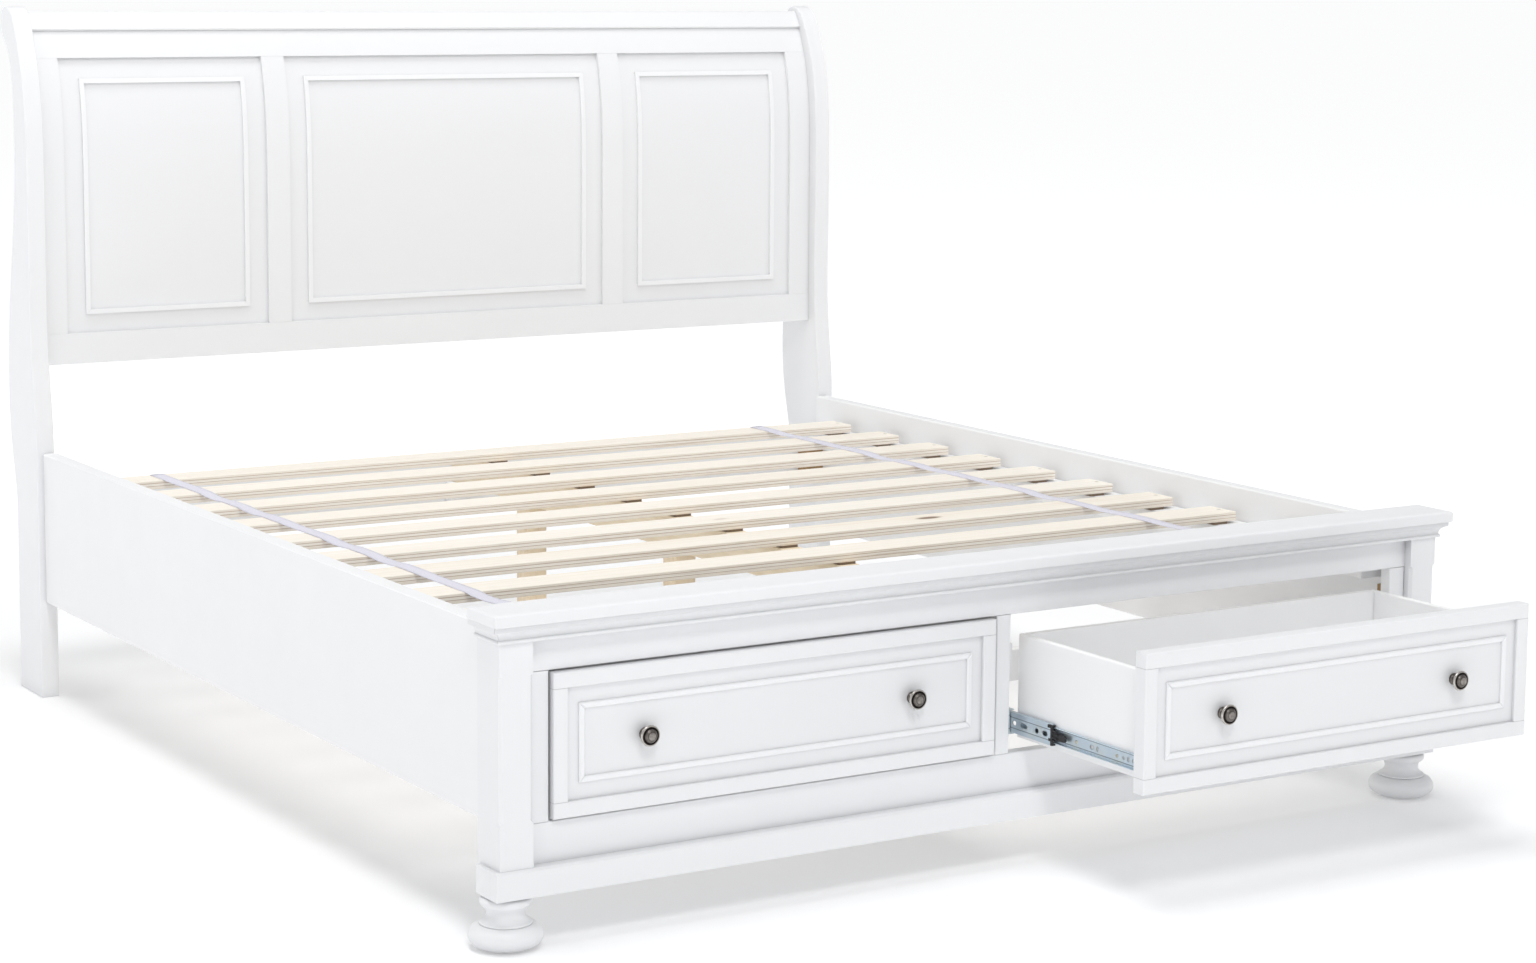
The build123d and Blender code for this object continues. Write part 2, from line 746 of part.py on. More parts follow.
with BuildPart() as straps:
    for x in strap_places:
        low = (x - strap_width / 2, slat_ys[0] + 6, slat_top + seat_gap)
        high = (x + strap_width / 2, slat_ys[-1] + slat_width - 6, slat_top + seat_gap + strap_thickness)
        block(low, high)
keep(straps, "slat_straps")

with BuildPart() as beam:
    beam_low = ledger_top - beam_height
    block((-beam_width / 2, board_back_y, beam_low), (beam_width / 2, stretcher_y, ledger_top))
    chamfer(beam.edges().filter_by(Axis.Y), edge)
keep(beam, "centre_beam")

leg_low, leg_high = bay_rail_y + bay_rail_thickness + leg_start, head_y - leg_end
leg_ys = [leg_low + i * (leg_high - leg_low) / (leg_count - 1) for i in range(leg_count)]
with BuildPart() as legs:
    for y in leg_ys:
        half = leg_size / 2
        block((-half, y - half, leg_lift), (half, y + half, beam_low))
    chamfer(legs.edges().filter_by(Axis.Z), 2)
    with BuildSketch(Plane.XY.offset(leg_lift)):
        with Locations(*[(0, y) for y in leg_ys]):
            Circle(glide_stem_radius + bore_clearance)
    extrude(amount=glide_stem_length, mode=Mode.SUBTRACT)
keep(legs, "centre_legs")

with BuildPart() as glides:
    with BuildSketch(Plane.XY):
        with Locations(*[(0, y) for y in leg_ys]):
            Circle(glide_radius)
    extrude(amount=glide_disc)
    chamfer(glides.edges(), 1)
    with BuildSketch(Plane.XY.offset(glide_disc)):
        with Locations(*[(0, y) for y in leg_ys]):
            Circle(glide_stem_radius)
    extrude(amount=glide_stem_length)
keep(glides, "leg_glides")

with BuildPart() as support_blocks:
    for side in (-1, 1):
        for size, y_low in ((foot_block_size, post_back_y), (block_size, stretcher_y - block_size)):
            low = (rail_inside - size, y_low, block_z)
            high = (rail_inside, y_low + size, block_z + block_height)
            block(*mirrored(side, low, high))
    half = cleat_width / 2
    for y_low in (board_back_y, stretcher_y - cleat_depth):
        block((-half, y_low, beam_low - cleat_height), (half, y_low + cleat_depth, beam_low))
    chamfer(support_blocks.edges().filter_by(Axis.Z), edge)
keep(support_blocks, "support_blocks")

# ======================================================================================
# Drawers
# ======================================================================================


def drawer_front(middle, shift):
    """The four frame boards of a drawer front, before the rebate for the panel."""
    low_x, high_x = middle - front_half, middle + front_half
    y_low, y_high = front_face_y + shift, front_back_y + shift
    inner = [(low_x + front_border, y_low, front_bottom + front_border)]
    inner.append((high_x - front_border, y_high, front_top - front_border))
    block((low_x, y_low, front_bottom), (high_x, y_high, front_top))
    cut(*inner)


def drawer_panel(middle, shift, clearance):
    """The two corners of the panel that drops into the frame's rebate."""
    inset = front_border - front_rebate + clearance
    low = (middle - front_half + inset, panel_face_y + shift, front_bottom + inset)
    high = (middle + front_half - inset, front_back_y + shift, front_top - inset)
    return low, high


for name, side in (("left", -1), ("right", 1)):
    shift = 0.0 if side < 0 else -drawer_travel
    middle_shift = shift / 2
    middle = side * drawer_mid
    low_x, high_x = middle - box_half, middle + box_half
    knob_places = [(middle - knob_offset, front_mid_z), (middle + knob_offset, front_mid_z)]

    with BuildPart() as front_frame:
        drawer_front(middle, shift)
        fillet(front_frame.edges().group_by(Axis.Y)[0], front_round)
        cut(*drawer_panel(middle, shift, 0))
        for z in (front_bottom + front_border, front_top - front_border - joint_gap):
            joint_low = (middle - front_half, front_face_y + shift, z)
            cut(joint_low, (middle + front_half, front_back_y + shift, z + joint_gap))
    keep(front_frame, f"{name}_drawer_frame")

    with BuildPart() as front_panel:
        low, high = drawer_panel(middle, shift, seat_gap)
        block(low, (high[0], low[1] + panel_thickness, high[2]))
        with BuildSketch(Plane(origin=(0, low[1], 0), x_dir=(1, 0, 0), z_dir=(0, -1, 0))):
            with Locations(*knob_places):
                Circle(knob_screw_radius + bore_clearance)
        extrude(amount=-panel_thickness, mode=Mode.SUBTRACT)
    keep(front_panel, f"{name}_drawer_panel")

    bead_plane = Plane(origin=(0, panel_face_y + shift, 0), x_dir=(1, 0, 0), z_dir=(0, -1, 0))
    inset_x = front_border + bead_inset_x
    inset_z = front_border + bead_inset_z
    across = (middle - front_half + inset_x, middle + front_half - inset_x)
    upright = (front_bottom + inset_z, front_top - inset_z)
    bead_ring = mitred_ring(bead_plane, *across, *upright, bead_width, bead_height)
    with BuildPart() as front_bead:
        add(bead_ring)
        chamfer(front_bead.edges().group_by(Axis.Y)[0], 2)
    keep(front_bead, f"{name}_drawer_bead")

    box_front_y = front_back_y + shift
    box_end_y = box_back_y + shift
    panel_z = box_bottom_z + bottom_panel_lift
    with BuildPart() as box:
        for x in (low_x, high_x - box_board):
            block((x, box_front_y, box_bottom_z), (x + box_board, box_end_y, box_top))
        inner_low, inner_high = low_x + box_board + joint_gap, high_x - box_board - joint_gap
        block((inner_low, box_front_y, box_bottom_z), (inner_high, box_front_y + box_board, box_top - 12))
        block((inner_low, box_end_y - box_board, box_bottom_z), (inner_high, box_end_y, box_top))
        fillet(box.edges().group_by(Axis.Z)[-1].filter_by(Axis.Y), 3)
        groove_low = (low_x + box_board - groove_depth, box_front_y + box_board - groove_depth, panel_z)
        groove_high = (high_x - box_board + groove_depth, box_end_y - box_board + groove_depth, panel_z + bottom_panel)
        cut(groove_low, groove_high)
        with BuildSketch(Plane(origin=(0, box_front_y, 0), x_dir=(1, 0, 0), z_dir=(0, -1, 0))):
            with Locations(*knob_places):
                Circle(knob_screw_radius + bore_clearance)
        extrude(amount=-box_board, mode=Mode.SUBTRACT)
    keep(box, f"{name}_drawer_box")

    with BuildPart() as box_bottom:
        low = tuple(v + 0.1 for v in groove_low)
        block(low, tuple(v - 0.1 for v in groove_high))
    keep(box_bottom, f"{name}_drawer_bottom")

    with BuildPart() as knobs:
        for x, z in knob_places:
            face = panel_face_y + shift
            with BuildSketch(Plane.YZ.offset(x)):
                with BuildLine():
                    Line((face, z), (face, z + 10.5))
                    Line((face, z + 10.5), (face - 2, z + 10.5))
                    ThreePointArc((face - 2, z + 10.5), (face - 7, z + 6.6), (face - 13, z + 8.5))
                    ThreePointArc((face - 13, z + 8.5), (face - 16, z + 14), (face - 17, z + knob_radius - 1))
                    ThreePointArc(
                        (face - 17, z + knob_radius - 1),
                        (face - 19, z + knob_radius),
                        (face - 21, z + knob_radius - 1.5),
                    )
                    Line((face - 21, z + knob_radius - 1.5), (face - 21, z + 14))
                    Line((face - 21, z + 14), (face - 20, z + 13))
                    Spline((face - 20, z + 13), (face - knob_reach, z), tangents=((-0.9, -0.4), (0, -1)))
                    Line((face - knob_reach, z), (face, z))
                make_face()
            revolve(axis=Axis((x, face, z), (0, 1, 0)))
            with BuildSketch(Plane(origin=(x, face, z), x_dir=(1, 0, 0), z_dir=(0, -1, 0))):
                Circle(knob_screw_radius + bore_clearance)
            extrude(amount=14, mode=Mode.SUBTRACT)
    keep(knobs, f"{name}_drawer_knobs")

    with BuildPart() as knob_screws:
        start = box_front_y + box_board
        for x, z in knob_places:
            with BuildSketch(Plane(origin=(x, start, z), x_dir=(1, 0, 0), z_dir=(0, -1, 0))):
                Circle(knob_screw_radius)
            extrude(amount=start - (panel_face_y + shift) + 12)
            with BuildSketch(Plane(origin=(x, start, z), x_dir=(1, 0, 0), z_dir=(0, -1, 0))):
                Circle(screw_head_radius)
            extrude(amount=-screw_head_height)
    keep(knob_screws, f"{name}_knob_screws")

    fixed_start = front_back_y + 6
    runner_start = fixed_start + shift
    middle_start = fixed_start + slide_length - middle_length + middle_shift
    half_fixed, half_middle, half_runner = slide_height / 2, middle_height / 2, runner_height / 2
    with BuildPart() as fixed_runners:
        for plane_x, out in ((low_x - slide_width, -1), (high_x + slide_width, 1)):
            x_low, x_high = sorted((plane_x, plane_x - out * (slide_width - 2.2)))
            channel(
                (x_low, fixed_start, slide_centre_z - half_fixed),
                (x_high, fixed_start + slide_length, slide_centre_z + half_fixed),
                out,
                slide_sheet,
            )
    keep(fixed_runners, f"{name}_fixed_runners")

    with BuildPart() as middle_runners:
        for plane_x, out in ((low_x - slide_width, -1), (high_x + slide_width, 1)):
            x_low, x_high = sorted((plane_x - out * 2.2, plane_x - out * (slide_width - 1.5)))
            channel(
                (x_low, middle_start, slide_centre_z - half_middle),
                (x_high, middle_start + middle_length, slide_centre_z + half_middle),
                out,
                1.0,
            )
            x_low, x_high = sorted((plane_x - out * 4.5, plane_x - out * (slide_width - 3.7)))
            for up in (-1, 1):
                near = slide_centre_z + up * (half_middle + 0.1)
                far = slide_centre_z + up * (half_fixed - slide_sheet - race_gap)
                z_low, z_high = sorted((near, far))
                cage_end = middle_start + middle_length - 12
                block((x_low, cage_end - cage_length, z_low), (x_high, cage_end, z_high))
                near = slide_centre_z + up * (half_runner + race_gap)
                far = slide_centre_z + up * (half_middle - 1.0 - 0.1)
                z_low, z_high = sorted((near, far))
                cage_low = middle_start + 12
                x_in = sorted((plane_x - out * (slide_width - 5.7), plane_x - out * (slide_width - 1.7)))
                block((x_in[0], cage_low, z_low), (x_in[1], cage_low + cage_length, z_high))
    keep(middle_runners, f"{name}_middle_runners")

    pivot_y = front_back_y + shift + lever_back
    with BuildPart() as runners:
        for plane_x, out in ((low_x, -1), (high_x, 1)):
            x_low, x_high = sorted((plane_x, plane_x + out * (slide_width - 6.2)))
            channel(
                (x_low, runner_start, slide_centre_z - half_runner),
                (x_high, runner_start + slide_length, slide_centre_z + half_runner),
                -out,
                1.0,
            )
    keep(runners, f"{name}_drawer_runners")

    for hand, wall_x, out in (("left", low_x, -1), ("right", high_x, 1)):
        with BuildPart() as lever:
            plate_near = wall_x + out * (slide_width - 5.7)
            plate_far = plate_near + out * lever_thickness
            x_low, x_high = sorted((plate_near, plate_far))
            half = lever_height / 2
            block(
                (x_low, pivot_y - lever_length / 2, slide_centre_z - half),
                (x_high, pivot_y + lever_length / 2, slide_centre_z + half),
            )
            chamfer(lever.edges().filter_by(Axis.X), 3)
            hub_low, hub_high = sorted((wall_x + out * (1.0 + race_gap), plate_near))
            with BuildSketch(Plane.YZ.offset(hub_low)):
                with Locations((pivot_y, slide_centre_z)):
                    Circle(4.5)
            extrude(amount=hub_high - hub_low)
        keep(lever, f"{name}_drawer_{hand}_lever")
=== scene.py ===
import math

import bmesh
import bpy
from mathutils import Matrix, Vector


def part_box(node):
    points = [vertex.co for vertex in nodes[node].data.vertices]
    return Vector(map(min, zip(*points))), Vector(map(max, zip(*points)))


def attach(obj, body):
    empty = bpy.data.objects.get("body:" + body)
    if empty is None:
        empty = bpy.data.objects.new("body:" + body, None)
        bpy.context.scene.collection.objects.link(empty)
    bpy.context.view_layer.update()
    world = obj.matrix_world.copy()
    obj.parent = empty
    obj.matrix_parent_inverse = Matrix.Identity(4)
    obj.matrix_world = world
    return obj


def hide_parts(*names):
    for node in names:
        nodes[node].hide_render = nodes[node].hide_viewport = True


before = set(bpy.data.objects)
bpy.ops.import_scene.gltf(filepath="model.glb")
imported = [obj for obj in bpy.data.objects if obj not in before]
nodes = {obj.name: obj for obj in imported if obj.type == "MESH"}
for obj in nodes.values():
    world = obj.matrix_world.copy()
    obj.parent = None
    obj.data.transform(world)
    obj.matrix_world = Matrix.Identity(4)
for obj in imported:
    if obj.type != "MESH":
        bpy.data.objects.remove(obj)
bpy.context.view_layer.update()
scene = bpy.context.scene

# ---- sizes read off the frame, in metres -------------------------------------------------
slat_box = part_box("slats")
deck_top = slat_box[1].z

# ======================================================================================
# Camera and light
# ======================================================================================

VIEW_YAW = math.radians(31.935)  # turned from +Y towards +X
VIEW_PITCH = math.radians(7.729)  # looking down
VIEW_ROLL = math.radians(0.478)
VIEW_FROM = Vector((-3.3234, -5.4927, 1.5869))
LENS = 76.19
SENSOR = 36.0
FRAME_LIFT = -0.0505


def place_camera():
    forward = Vector((
        math.sin(VIEW_YAW) * math.cos(VIEW_PITCH),
        math.cos(VIEW_YAW) * math.cos(VIEW_PITCH),
        -math.sin(VIEW_PITCH),
    ))
    level = Vector((math.cos(VIEW_YAW), -math.sin(VIEW_YAW), 0))
    below = forward.cross(level)
    turn_c, turn_s = math.cos(VIEW_ROLL), math.sin(VIEW_ROLL)
    right = level * turn_c - below * turn_s
    down = level * turn_s + below * turn_c
    data = bpy.data.cameras.new("camera")
    data.lens, data.sensor_width, data.sensor_fit = LENS, SENSOR, "HORIZONTAL"
    data.shift_y = FRAME_LIFT
    data.clip_start, data.clip_end = 0.05, 1500
    camera = bpy.data.objects.new("camera", data)
    axes = Matrix((right, -down, -forward)).transposed()
    camera.matrix_world = Matrix.Translation(VIEW_FROM) @ axes.to_4x4()
    scene.collection.objects.link(camera)
    scene.camera = camera


place_camera()


def softbox(name, size, place, aim, power, tint=(1, 1, 1)):
    data = bpy.data.lights.new(name, "AREA")
    data.shape, data.size, data.energy, data.color = "SQUARE", size, power, tint
    lamp = bpy.data.objects.new(name, data)
    lamp.location = place
    lamp.rotation_mode = "QUATERNION"
    lamp.rotation_quaternion = (Vector(aim) - Vector(place)).to_track_quat("-Z", "Y")
    scene.collection.objects.link(lamp)


SOFTBOXES = (
    # name, side of the square, place, aim, power, tint
    ("softbox_behind_left", 3.0, (-5.5, 3.2, 4.2), (0, 0.4, 0.4), 40, (0.98, 0.99, 1.0)),
    ("softbox_over", 4.0, (-1.0, -0.5, 9.0), (0, 0, 0), 320, (1.0, 0.997, 0.993)),
    ("softbox_high_front", 2.4, (-2.5, -7.0, 8.5), (0, 0, 0.4), 270, (1.0, 1.0, 1.0)),
)
for box in SOFTBOXES:
    softbox(*box)

SKY_STRENGTH, HORIZON_STRENGTH = 0.4, 0.86
HORIZON_BAND = (0.16, 0.4)  # the sine of the elevation where the horizon's light ends
world = bpy.data.worlds.new("studio")
scene.world = world
world.use_nodes = True
sky = world.node_tree.nodes["Background"]
sky.inputs["Color"].default_value = (0.985, 0.992, 1.0, 1)
rise = world.node_tree.nodes.new("ShaderNodeSeparateXYZ")
fall = world.node_tree.nodes.new("ShaderNodeMapRange")
fall.interpolation_type = "SMOOTHSTEP"
for socket, value in zip(list(fall.inputs)[1:5], (*HORIZON_BAND, HORIZON_STRENGTH, SKY_STRENGTH)):
    socket.default_value = value
direction = world.node_tree.nodes.new("ShaderNodeTexCoord").outputs["Generated"]
world.node_tree.links.new(direction, rise.inputs[0])
world.node_tree.links.new(rise.outputs["Z"], fall.inputs["Value"])
world.node_tree.links.new(fall.outputs["Result"], sky.inputs["Strength"])
scene.view_settings.view_transform = "Standard"

# ======================================================================================
# Shader kit
# ======================================================================================


class Wire:
    """An output socket. Sums and products on it add Math nodes to its finish."""

    def __init__(self, finish, socket):
        self.finish, self.socket = finish, socket

    def math(self, operation, *others, clamp=False):
        values = {0: self}
        values.update({i + 1: other for i, other in enumerate(others)})
        return self.finish.node("Math", {"operation": operation, "use_clamp": clamp}, values)

    def __add__(self, other):
        return self.math("ADD", other)

    def __mul__(self, other):
        return self.math("MULTIPLY", other)

    def __sub__(self, other):
        return self.math("SUBTRACT", other)

    def __truediv__(self, other):
        return self.math("DIVIDE", other)

    def __rsub__(self, other):
        return self.finish.node("Math", {"operation": "SUBTRACT"}, {0: other, 1: self})

    __radd__, __rmul__ = __add__, __mul__

    def __abs__(self):
        return self.math("ABSOLUTE")

    def floor(self):
        return self.math("FLOOR")

    def clip(self):
        return self.math("ADD", 0.0, clamp=True)

    def above(self, low, high):
        """0 below low, 1 above high, smooth between."""
        return self.finish.node("MapRange", {"interpolation_type": "SMOOTHSTEP"}, {0: self, 1: low, 2: high})


class Finish:
    """One material and the nodes that make it."""

    def __init__(self, name):
        self.material = bpy.data.materials.new(name)
        self.material.use_nodes = True
        self.tree = self.material.node_tree
        self.tree.nodes.clear()

    def node(self, kind, settings=None, sockets=None, out=0):
        made = self.tree.nodes.new("ShaderNode" + kind)
        for key, value in (settings or {}).items():
            if key == "stops":
                ramp = made.color_ramp.elements
                while len(ramp) < len(value):
                    ramp.new(0.5)
                for element, (place, colour) in zip(ramp, value):
                    element.position, element.color = place, (*colour, 1)
            else:
                setattr(made, key, value)
        for key, value in (sockets or {}).items():
            if isinstance(value, Wire):
                self.tree.links.new(value.socket, made.inputs[key])
            else:
                made.inputs[key].default_value = value
        return Wire(self, made.outputs[out])

    def place(self):
        return self.node("TexCoord", out="Object")

    def split(self, vector):
        made = self.node("SeparateXYZ", sockets={0: vector})
        return [Wire(self, made.socket.node.outputs[i]) for i in range(3)]

    def stretch(self, vector, scale, offset=(0, 0, 0)):
        return self.node("Mapping", {}, {"Vector": vector, "Location": offset, "Scale": scale})

    def noise(self, vector, scale, detail=3.0, rough=0.5, warp=0.0):
        sockets = {"Vector": vector, "Scale": scale, "Detail": detail, "Roughness": rough, "Distortion": warp}
        return self.node("TexNoise", {}, sockets)

    def ramp(self, value, *stops):
        return self.node("ValToRGB", {"stops": stops}, {0: value})

    def mix(self, factor, a, b, way="MIX"):
        settings = {"data_type": "RGBA", "blend_type": way}
        colours = {0: factor, 6: a, 7: b}
        for key in (6, 7):
            if isinstance(colours[key], tuple):
                colours[key] = (*colours[key][:3], 1)
        return self.node("Mix", settings, colours, out=2)

    def bump(self, height, strength, depth):
        return self.node("Bump", {}, {"Height": height, "Strength": strength, "Distance": depth})

    def close(self, **sockets):
        """Ends the tree in one Principled shader. Underscores in the names stand for spaces."""
        values = {key.replace("_", " "): value for key, value in sockets.items()}
        if isinstance(values.get("Base Color"), tuple):
            values["Base Color"] = (*values["Base Color"][:3], 1)
        shader = self.node("BsdfPrincipled", {}, values)
        output = self.tree.nodes.new("ShaderNodeOutputMaterial")
        self.tree.links.new(shader.socket, output.inputs["Surface"])
        return self.material


# ======================================================================================
# Finishes
# ======================================================================================

PAINT = (0.868, 0.874, 0.888)


def satin_paint(name, tone, grain, sheen=0.36, white=PAINT, joints=None, recess=0.5):
    """Sprayed satin paint over wood.

    It has a fine orange peel. Painted shade darkens it towards grey in its creases and, as much as recess
    asks, in its wider recesses. joints gives the butt joints that tell
    through: the middle of the rails, how far out the joints start, and their heights.
    """
    f = Finish(name)
    place = f.place()
    run = [46.0, 46.0, 46.0]
    run["XYZ".index(grain)] = 1.6
    fibres = f.noise(f.stretch(place, tuple(run)), 1.0, 4.0, 0.6, 0.4)
    peel = f.noise(place, 420.0, 2.0)
    cloud = f.noise(place, 1.7, 2.0)
    smudge = f.noise(place, 9.0, 5.0, 0.6)
    light = tuple(min(1.0, c * tone * 1.004) for c in white)
    dull = tuple(c * tone * 0.988 for c in white)
    colour = f.mix((cloud * 0.85 + fibres * 0.15).above(0.25, 0.75), dull, light)
    # Painted shade: the paint is darkened towards grey in creases and tight corners, within 12 mm.
    open_sky = f.node("AmbientOcclusion", {"samples": 6}, {"Distance": 0.012}, out="AO")
    crease_shade = (1.0 - open_sky).above(0.16, 0.8)
    colour = f.mix(crease_shade * 0.4, colour, (0.42, 0.42, 0.43))
    # Painted shade: scaled by recess, the paint is darkened towards grey in wider recesses, within 5 cm.
    if recess:
        wide_sky = f.node("AmbientOcclusion", {"samples": 6}, {"Distance": 0.05}, out="AO")
        colour = f.mix((1.0 - wide_sky).above(0.1, 0.8) * recess, colour, (0.56, 0.565, 0.58))
    height = fibres * 0.02 + peel * 0.4
    if joints:
        middle, reach, levels = joints
        x, _, z = f.split(place)
        for level in levels:
            line = (1.0 - abs(z - level).above(0.0002, 0.0008)) * abs(x - middle).math("GREATER_THAN", reach)
            colour = f.mix(line * 0.6, colour, (0.4, 0.4, 0.41))
            height = height - line * 6.0
    return f.close(
        Base_Color=colour,
        Roughness=sheen + smudge * 0.12,
        Normal=f.bump(height, 0.05, 0.0002),
        Specular_IOR_Level=0.45,
        Coat_Weight=smudge.above(0.2, 0.8) * 0.12,
        Coat_Roughness=0.25,
    )


UNDER_SLAT_DARK = (0.2, 0.145, 0.1)


def sawn_wood(
    name, grain, pale, warm, dark, spacing=0.0, start=0.0, plies=0.0, floor_z=0.0, painted_within=0.0
):
    """Planed softwood: stretched rings, fine pores and a few knots.

    spacing and start give each board its own figure. plies is the height of one veneer above
    floor_z on the boards' edges, and below floor_z the colour is a dark brown. Within painted_within of
    the middle the wood is bare, and beyond it it is painted.
    """
    f = Finish(name)
    place = f.place()
    axes = f.split(place)
    along = "XYZ".index(grain)
    if spacing:
        count = ((axes[1] - start) / spacing).floor()
        shade = f.node("TexWhiteNoise", {"noise_dimensions": "1D"}, {"W": count}, out="Value")
        shift = f.node("CombineXYZ", {}, {0: shade * 7.3, 1: count * 3.1, 2: shade * 5.7})
        place = f.node("VectorMath", {"operation": "ADD"}, {0: place, 1: shift})
    else:
        shade = f.noise(place, 0.9, 1.0)
    long_way = [1.0, 1.0, 1.0]
    long_way[along] = 0.055
    drawn = f.stretch(place, tuple(long_way))
    sway = f.noise(drawn, 6.0, 3.0, 0.5, 0.6)
    growth = {"Vector": drawn, "Scale": 17.0, "Distortion": 5.0}
    growth.update({"Detail": 3.0, "Detail Scale": 1.4, "Detail Roughness": 0.6})
    round_grain = {"wave_type": "RINGS", "rings_direction": grain, "wave_profile": "SAW"}
    rings = f.node("TexWave", round_grain, growth, out=1)
    pores_way = [260.0, 260.0, 260.0]
    pores_way[along] = 7.0
    pores = f.noise(f.stretch(place, tuple(pores_way)), 1.0, 3.0, 0.6)
    knot_way = [5.5, 5.5, 5.5]
    knot_way[along] = 2.2
    spots = {"Vector": f.stretch(place, tuple(knot_way)), "Scale": 1.0, "Randomness": 1.0}
    cells = f.node("TexVoronoi", {"feature": "F1"}, spots, out="Distance")
    knot = 1.0 - cells.above(0.035, 0.085)
    halo = 1.0 - cells.above(0.06, 0.2)
    body = f.mix((rings * 0.35 + sway.above(0.45, 0.75) * 0.35).clip(), pale, warm)
    body = f.mix(pores.above(0.52, 0.74) * 0.16, body, dark)
    body = f.mix((shade * 0.2 + halo * 0.3).clip(), body, warm)
    body = f.mix(knot * 0.85, body, (dark[0] * 0.45, dark[1] * 0.38, dark[2] * 0.3))
    height = rings * 0.25 + pores * 0.5
    if plies:
        rise = axes[2] - floor_z
        level = rise / plies
        layer = level.math("FRACT")
        line = layer.above(0.0, 0.05) - layer.above(0.1, 0.28)
        facing = f.split(f.node("NewGeometry", out="Normal"))
        side = (1.0 - abs(facing[2])).above(0.5, 0.8)
        alternate = 1.0 - level.floor().math("PINGPONG", 1.0)
        streaks = f.noise(f.stretch(place, (3.0, 3.0, 420.0)), 1.0, 3.0, 0.6)
        edge = f.mix(0.12 + alternate * 0.4, pale, warm)
        edge = f.mix(streaks.above(0.52, 0.75) * 0.55, edge, dark)
        body = f.mix(side * 0.85, body, edge)
        body = f.mix(side * line * 0.8, body, dark)
        body = f.mix(1.0 - rise.above(-0.0004, 0.0001), body, UNDER_SLAT_DARK)
        height = height + side * line * -0.6
    if painted_within:
        body = f.mix(abs(axes[0]).above(painted_within, painted_within + 0.01), PAINT, body)
    return f.close(
        Base_Color=body,
        Roughness=0.55 + pores * 0.2,
        Normal=f.bump(height, 0.3, 0.0008),
        Specular_IOR_Level=0.3,
    )


def foil_board(name, tint):
    """White foil over board, for the drawer bottoms."""
    f = Finish(name)
    place = f.place()
    weave = f.noise(f.stretch(place, (30.0, 600.0, 30.0)), 1.0, 2.0)
    dust = f.noise(place, 14.0, 5.0, 0.6)
    colour = f.mix(dust.above(0.35, 0.75), tint, tuple(c * 0.96 for c in tint))
    return f.close(Base_Color=colour, Roughness=0.42 + dust * 0.12, Normal=f.bump(weave, 0.1, 0.0004))


def aged_pewter(name, centre_x, spread_x, centre_z):
    """Cast metal gone dark in its grooves and rubbed bright on its rim and dome."""
    f = Finish(name)
    place = f.place()
    x, _, z = f.split(place)
    across = abs(abs(x) - centre_x) - spread_x
    rise = z - centre_z
    radius = (across * across + rise * rise).math("SQRT")
    groove = radius.above(0.0112, 0.0126) - radius.above(0.0142, 0.0156)
    inner = radius.above(0.0062, 0.0072) - radius.above(0.0078, 0.0088)
    stem = 1.0 - radius.above(0.0075, 0.0105)
    blotch = f.noise(place, 210.0, 5.0, 0.65)
    scuff = f.noise(place, 900.0, 3.0, 0.6)
    rim = radius.above(0.0148, 0.0166)
    worn = (rim * 0.5 + stem * 0.2 + blotch * 0.6 - groove * 0.75 - inner * 0.3).clip()
    colour = f.ramp(worn, (0.0, (0.03, 0.026, 0.024)), (0.42, (0.2, 0.18, 0.165)), (1.0, (0.72, 0.69, 0.65)))
    return f.close(
        Base_Color=colour,
        Metallic=0.92,
        Roughness=(0.42 - worn * 0.24 + scuff * 0.1),
        Normal=f.bump(blotch * 0.6 + scuff * 0.4, 0.25, 0.0004),
    )


def zinc_steel(name, tint, streak_axis="Y", middle_z=0.0, lines=(), slots=()):
    """Rolled, zinc plated steel. Pressed lines run along it, and stamped slots are cut through its web."""
    f = Finish(name)
    place = f.place()
    way = [900.0, 900.0, 900.0]
    way["XYZ".index(streak_axis)] = 12.0
    streak = f.noise(f.stretch(place, tuple(way)), 1.0, 3.0, 0.6)
    plating = f.noise(place, 34.0, 3.0, 0.5)
    warm = (tint[0] * 1.06, tint[1] * 0.99, tint[2] * 0.86)
    colour = f.mix(plating.above(0.45, 0.7) * 0.6, tint, warm)
    _, y, z = f.split(place)
    rise = z - middle_z
    pressed = streak * 0.1
    for line in lines:
        groove = 1.0 - abs(rise - line).above(0.0003, 0.0011)
        pressed = pressed - groove
        # Painted shadow: each pressed line is painted near black along its middle.
        colour = f.mix(groove * 0.7, colour, (0.05, 0.07, 0.08))
    sheet = 1.0
    for centre, half_length, half_height in slots:
        run = (abs(y - centre) - (half_length - half_height)).math("MAXIMUM", 0.0)
        edge_far = (run * run + rise * rise).math("SQRT")
        sheet = edge_far.math("GREATER_THAN", half_height) * sheet
        rim = 1.0 - edge_far.above(half_height, half_height + 0.0014)
        pressed = pressed - rim
        # Painted shade: a dark band is painted round each slot's edge.
        colour = f.mix(rim * 0.45, colour, (0.12, 0.15, 0.17))
    return f.close(
        Base_Color=colour,
        Metallic=0.8,
        Roughness=0.32 + streak * 0.16,
        Normal=f.bump(pressed, 0.35, 0.0006),
        Alpha=sheet,
    )


def moulded_plastic(name, tint, rough=0.45):
    f = Finish(name)
    place = f.place()
    spark = f.noise(place, 1600.0, 2.0)
    flow = f.noise(place, 60.0, 3.0)
    colour = f.mix(flow.above(0.4, 0.7), tint, tuple(c * 1.35 + 0.004 for c in tint))
    return f.close(Base_Color=colour, Roughness=rough + flow * 0.12, Normal=f.bump(spark, 0.15, 0.0002))


